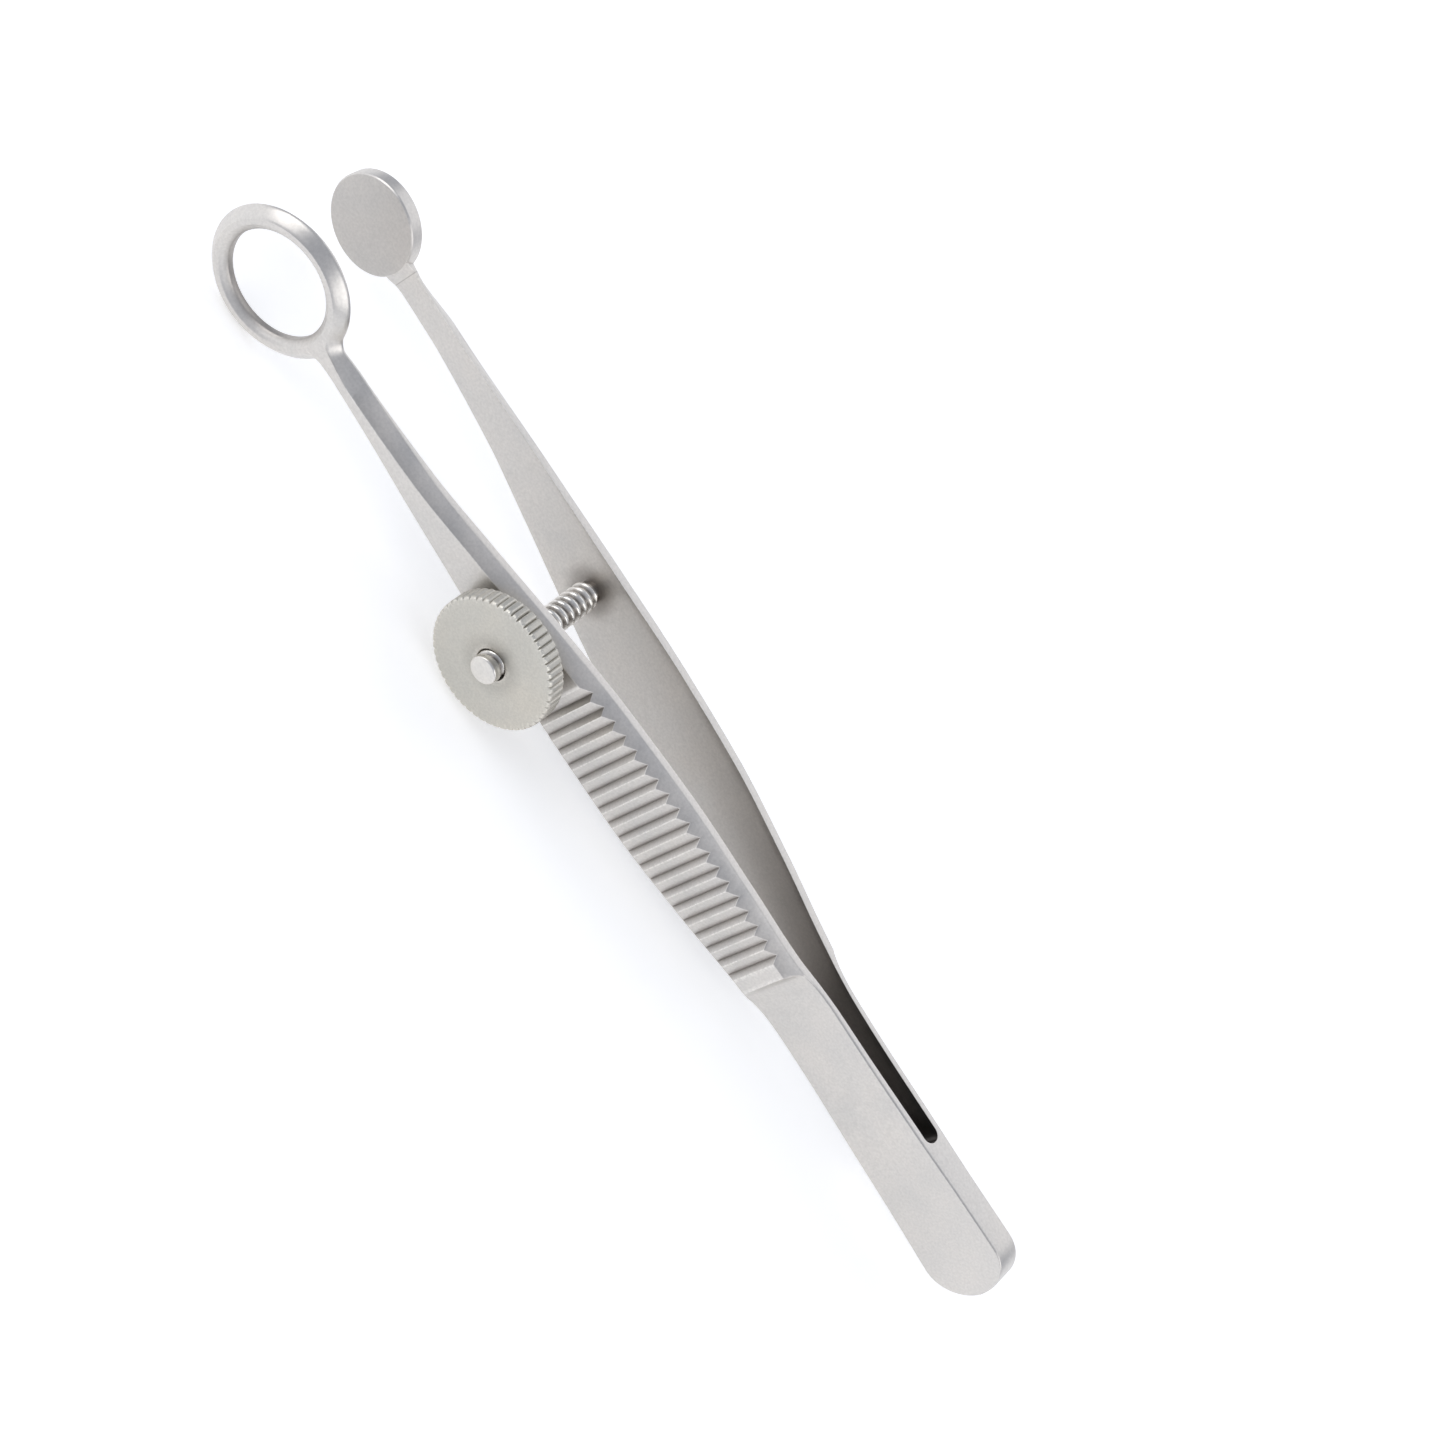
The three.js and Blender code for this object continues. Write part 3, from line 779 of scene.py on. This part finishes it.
def stud_hole():
    """The shape of the stud's slotted hole, which is longer along the arm, because the arm tilts."""
    surface = Surface()
    radius = STUD_HOLE_WIDTH / 2
    straight = STUD_HOLE_LENGTH / 2 - radius
    segments = 64
    rows = []
    for y in (inner_level(STUD_X) - 1.5, outer_level(STUD_X) + 1.5):
        points = []
        for i in range(segments):
            angle = 2 * math.pi * (i + 0.5) / segments
            x = radius * math.cos(angle) + math.copysign(straight, math.cos(angle))
            points.append((STUD_X + x, y, radius * math.sin(angle)))
        rows.append(surface.row(points))
    surface.sheet(rows, closed=True)
    surface.cap(rows[0])
    surface.cap(list(reversed(rows[1])))
    return surface.build("stud_hole", SATIN, mirror=True, handled=False)


def cut(piece, cutter):
    """Cuts the cutter's shape out of a piece for good and removes the cutter."""
    modifier = piece.modifiers.new("cut", "BOOLEAN")
    modifier.operation = "DIFFERENCE"
    modifier.solver = "EXACT"
    modifier.object = cutter
    solid = piece.data
    whole = piece.evaluated_get(bpy.context.evaluated_depsgraph_get())
    piece.data = bpy.data.meshes.new_from_object(whole)
    piece.modifiers.clear()
    piece.data.set_sharp_from_angle(angle=math.radians(35.0))
    for shade in piece.data.attributes["shade"].data:
        if shade.value == 0.0:                   # only the cut's own new points carry no shade yet; they get the hole's painted shade
            shade.value = HOLE_SHADE
    bpy.data.meshes.remove(solid)
    bpy.data.meshes.remove(cutter.data)


def make_ring_arm():
    surface = Surface()
    add_ring_head(surface)
    add_blade(surface, UNDER_NUT, ROUND_HOLE)
    arm = surface.build("ring_arm_blade", SATIN, mirror=True)
    cut(arm, stud_hole())
    return arm


# ---- Plate arm ---------------------------------------------------------------------------------------

NECK_STATIONS = [
    2.4, 3.2, 3.24, 3.4, 3.6, 3.8, 3.98, 4.03, 4.08, 4.3, 4.6, 5.0, 5.5, 6.0, 6.6, 7.2, 7.8, 8.4, HEAD_END,
]


def plate_levels(x):
    """The plate's leaning back runs into the blade's, and its face turns into the neck's flat facet."""
    if x >= HEAD_END:
        return plain_levels(x)
    face = PLATE_FACE_Y - math.tan(LEAN) * (x - PLATE_X)
    facet = PLATE_FACET[0] + (x - 4) * PLATE_FACET[1]
    outer = mix(face + PLATE_THICKNESS, outer_level(HEAD_END), smooth(x, *PLATE_BACK_RUN))
    return outer, mix(face + PLATE_OVERLAP, facet, share_between(x, *PLATE_STEP))


def add_plate_neck(surface):
    rows = []
    for x in NECK_STATIONS:
        edge, inner, width = section_at(x, plate_levels)
        wider = PLATE_FLARE * (1 - smooth(x, *PLATE_FLARE_RUN))
        points = loop_points(x, edge, inner, width + wider)
        # a thin line of painted shade at the facet's step
        shade = PLATE_CORNER_SHADE if x == PLATE_STEP[1] else 1.0
        rows.append(surface.row(points, [shade] * len(points)))
    surface.sheet(rows, closed=True)
    surface.cap(list(reversed(rows[0])))


def make_plate_arm():
    surface = Surface()
    add_plate_neck(surface)
    add_blade(surface, ROUND_RIVET, ROUND_FOOT)
    return surface.build("plate_arm_blade", SATIN)


def make_plate_disc():
    across, up = PLATE_FACE_CHAMFER
    section = [
        (0.0, 0.0), (PLATE_RADIUS - across, 0.0), (PLATE_RADIUS, up),
        (PLATE_RADIUS, PLATE_THICKNESS - PLATE_BACK_CHAMFER),
        (PLATE_RADIUS - PLATE_BACK_CHAMFER, PLATE_THICKNESS), (0.0, PLATE_THICKNESS),
    ]

    def shade_at(radius, y):
        # the plate's face gets painted shade
        on_face = y < 0.01 and radius < PLATE_RADIUS - 0.12
        return PLATE_FACE_SHADE if on_face else 1.0

    surface = Surface()
    add_turned(surface, rounded(section, 0.05), PLATE_X, 128, shade_at, LEAN, PLATE_FACE_Y)
    return surface.build("plate_disc", SATIN)


# ---- Weld, stud and nut ------------------------------------------------------------------------------


def make_weld():
    surface = Surface()
    rows = []
    for x in blade_stations():
        if x >= SLOT_END:
            wide = half_width(x) * butt_share(x) + WELD_PROUD
            rows.append(surface.row([
                (x, -WELD_HALF, wide), (x, -WELD_HALF, -wide), (x, WELD_HALF, -wide), (x, WELD_HALF, wide),
            ]))
    surface.sheet(rows, closed=True)
    surface.cap(list(reversed(rows[0])))
    return surface.build("weld_line", SATIN, handled=False)


def make_stud():
    """A worn tip, a threaded length, a neck through the plate arm, and a rivet head that lies on its face."""
    foot = inner_level(STUD_X)
    back = outer_level(STUD_X)
    tip_low = STUD_END_Y + STUD_TIP_CHAMFER
    thread_low = tip_low + STUD_TIP_LENGTH
    core_radius = THREAD_ROOT * 0.97
    section = [
        (0.0, STUD_END_Y), (STUD_TIP_RADIUS - 0.1, STUD_END_Y + 0.03), (STUD_TIP_RADIUS, tip_low),
        (STUD_TIP_RADIUS, thread_low), (core_radius, thread_low + 0.05), (core_radius, foot - 0.4),
        (STUD_NECK_RADIUS, foot - 0.3), (STUD_NECK_RADIUS, back - 0.5), (RIVET_RADIUS, back - 0.03),
        (RIVET_RADIUS - 0.08, back + 0.02), (0.0, back + 0.04),
    ]

    def shade_at(_, y):
        # painted shade: the core under the thread is dark; the rest of the stud is a little darker
        return 0.35 if thread_low + 0.02 < y < foot else 0.9

    surface = Surface()
    add_thread(surface, thread_low - 0.1, foot - 0.35)
    add_turned(surface, rounded(section, 0.06), STUD_X, 64, shade_at)
    face_slope = (outer_level(STUD_X + 1) - outer_level(STUD_X - 1)) / 2
    head_low = back - 0.3
    surface.points = [
        (x, y + face_slope * (x - STUD_X) if y > head_low else y, z) for x, y, z in surface.points
    ]
    return surface.build("threaded_stud", BRIGHT, sharp=62.0)


def nut_section():
    """(radius, y, share of the teeth's depth) from the outer face's bore, over the rim and boss, and back."""
    low, high = NUT_FACE_Y, NUT_FACE_Y + NUT_THICKNESS
    bore, rim, boss, end = NUT_BORE, NUT_RADIUS, BOSS_RADIUS, BOSS_END_Y
    return [
        (bore, low + 0.12, 0), (bore + 0.1, low, 0), (bore + 0.5, low, 0), (bore + 1.5, low, 0),
        (rim - 0.55, low, 0), (rim - 0.25, low + 0.005, 0.35), (rim - 0.1, low + 0.04, 0.85),
        (rim - 0.02, low + 0.13, 1), (rim, low + 0.25, 1), (rim, high - 0.27, 1),
        (rim - 0.03, high - 0.15, 0.9), (rim - 0.14, high - 0.05, 0.55), (rim - 0.3, high - 0.005, 0.15),
        (rim - 0.55, high, 0), (boss + 0.12, high, 0), (boss + 0.03, high + 0.03, 0),
        (boss, high + 0.12, 0), (boss, end - 0.2, 0), (boss - 0.06, end - 0.06, 0), (boss - 0.2, end, 0),
        (bore + 0.1, end, 0), (bore, end - 0.1, 0), (bore, low + 0.12, 0),
    ]


def make_nut():
    """A wheel whose rim is cut by straight V grooves, each a little uneven, and its boss."""
    per_tooth = 10
    groove = (1.0, 0.42, 0.08, 0.0, 0.0, 0.0, 0.0, 0.0, 0.08, 0.42)
    uneven = np.random.default_rng(7)
    depths = 1 + NUT_DEPTH_SPREAD * (uneven.random(NUT_TEETH) - 0.5)
    shifts = NUT_PLACE_SPREAD * (uneven.random(NUT_TEETH) - 0.5)
    surface = Surface()
    rows = []
    for radius, y, toothed in nut_section():
        in_bore = radius < NUT_BORE + 0.05
        # painted shade in the nut's bore and on the face round it
        bore_painted_shade = 0.3 if in_bore else 0.82 + 0.18 * smooth(radius, NUT_BORE + 0.05, NUT_BORE + 1.2)
        points = []
        shades = []
        for tooth in range(NUT_TEETH):
            following = (tooth + 1) % NUT_TEETH
            for i in range(per_tooth):
                nearest = tooth if i < per_tooth / 2 else following
                lag = mix(shifts[tooth], shifts[following], i / per_tooth)
                angle = 2 * math.pi * (tooth + i / per_tooth + lag) / NUT_TEETH
                r = radius - toothed * groove[i] * NUT_TOOTH_DEPTH * depths[nearest]
                points.append((STUD_X + r * math.cos(angle), y, r * math.sin(angle)))
                # and painted shade at the bottoms of the knurl's grooves
                shades.append(bore_painted_shade * (1 - 0.14 * toothed * groove[i] ** 2))
        rows.append(surface.row(points, shades))
    surface.sheet(rows, closed=True)
    return surface.build("knurled_thumb_nut", TURNED)


# ---- Making the pieces, and the bodies that they ride on ---------------------------------------------

ring_arm = make_ring_arm()
plate_arm = make_plate_arm()
plate_disc = make_plate_disc()

for blade, moving, fixed in (
    (ring_arm, "ring_arm", "ring_arm_butt"),
    (plate_arm, "plate_arm", "plate_arm_butt"),
):
    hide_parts(moving, fixed)
    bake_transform(blade)
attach(plate_disc, "plate_arm")

weld = make_weld()
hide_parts("butt_weld")
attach(weld, "butt")

stud = make_stud()
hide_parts("stud")
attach(stud, "plate_arm")

nut = make_nut()
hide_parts("thumb_nut", "thumb_nut_boss")
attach(nut, "thumb_nut")

# ---- Floor, light and camera -------------------------------------------------------------------------

FLOOR_COLOUR = (0.93, 0.93, 0.93, 1)
FLOOR_GLOW = 0.33
WORLD_COLOUR = (0.85, 0.895, 1.0, 1)
WORLD_STRENGTH = 0.56
CAMERA_PLACE = Vector((11.0, -176.4, 189.7))
CAMERA_AIM = Vector((40.58, 1.31, 6.35))
CAMERA_ROLL = math.radians(64.42)
CAMERA_LENS = 94.85


def make_floor():
    surface = bmesh.new()
    bmesh.ops.create_grid(surface, x_segments=8, y_segments=8, size=4.0)
    mesh = bpy.data.meshes.new("floor")
    surface.to_mesh(mesh)
    surface.free()
    material = bpy.data.materials.new("floor_white")
    material.use_nodes = True
    shader = material.node_tree.nodes["Principled BSDF"]
    shader.inputs["Base Color"].default_value = FLOOR_COLOUR
    shader.inputs["Roughness"].default_value = 0.8
    shader.inputs["Emission Color"].default_value = (1, 1, 1, 1)
    shader.inputs["Emission Strength"].default_value = FLOOR_GLOW
    mesh.materials.append(material)
    obj = bpy.data.objects.new("floor", mesh)
    bpy.context.scene.collection.objects.link(obj)
    return obj


def make_world():
    world = bpy.data.worlds.new("studio")
    bpy.context.scene.world = world
    world.use_nodes = True
    background = world.node_tree.nodes["Background"]
    background.inputs["Color"].default_value = WORLD_COLOUR
    background.inputs["Strength"].default_value = WORLD_STRENGTH


def softbox(name, place, size, power, colour):
    """A round soft light that is turned towards the frame's origin."""
    data = bpy.data.lights.new(name, "AREA")
    data.shape = "DISK"
    data.size = size
    data.energy = power
    data.color = colour
    obj = bpy.data.objects.new(name, data)
    obj.location = place
    obj.rotation_euler = (-Vector(place)).to_track_quat("-Z", "Y").to_euler()
    bpy.context.scene.collection.objects.link(obj)


def make_camera():
    data = bpy.data.cameras.new("camera")
    data.lens = CAMERA_LENS
    data.sensor_width = 36.0
    data.clip_start = 0.005
    data.clip_end = 10.0
    camera = bpy.data.objects.new("camera", data)
    camera.location = HOME + CAMERA_PLACE * MM
    look = (CAMERA_AIM - CAMERA_PLACE).to_track_quat("-Z", "Y").to_matrix().to_4x4()
    camera.matrix_world = Matrix.Translation(camera.location) @ look @ Matrix.Rotation(CAMERA_ROLL, 4, "Z")
    bpy.context.scene.collection.objects.link(camera)
    bpy.context.scene.camera = camera


make_floor()
make_world()
bpy.context.scene.view_settings.view_transform = "Standard"
softbox("left", (-0.6, -0.25, 0.36), 0.6, 1.6, (1.0, 0.99, 0.97))
softbox("right", (0.6, -0.25, 0.4), 0.6, 1.3, (1.0, 0.99, 0.97))
softbox("back", (0.1, 0.6, 0.52), 1.1, 1.8, (1.0, 0.985, 0.965))
make_camera()
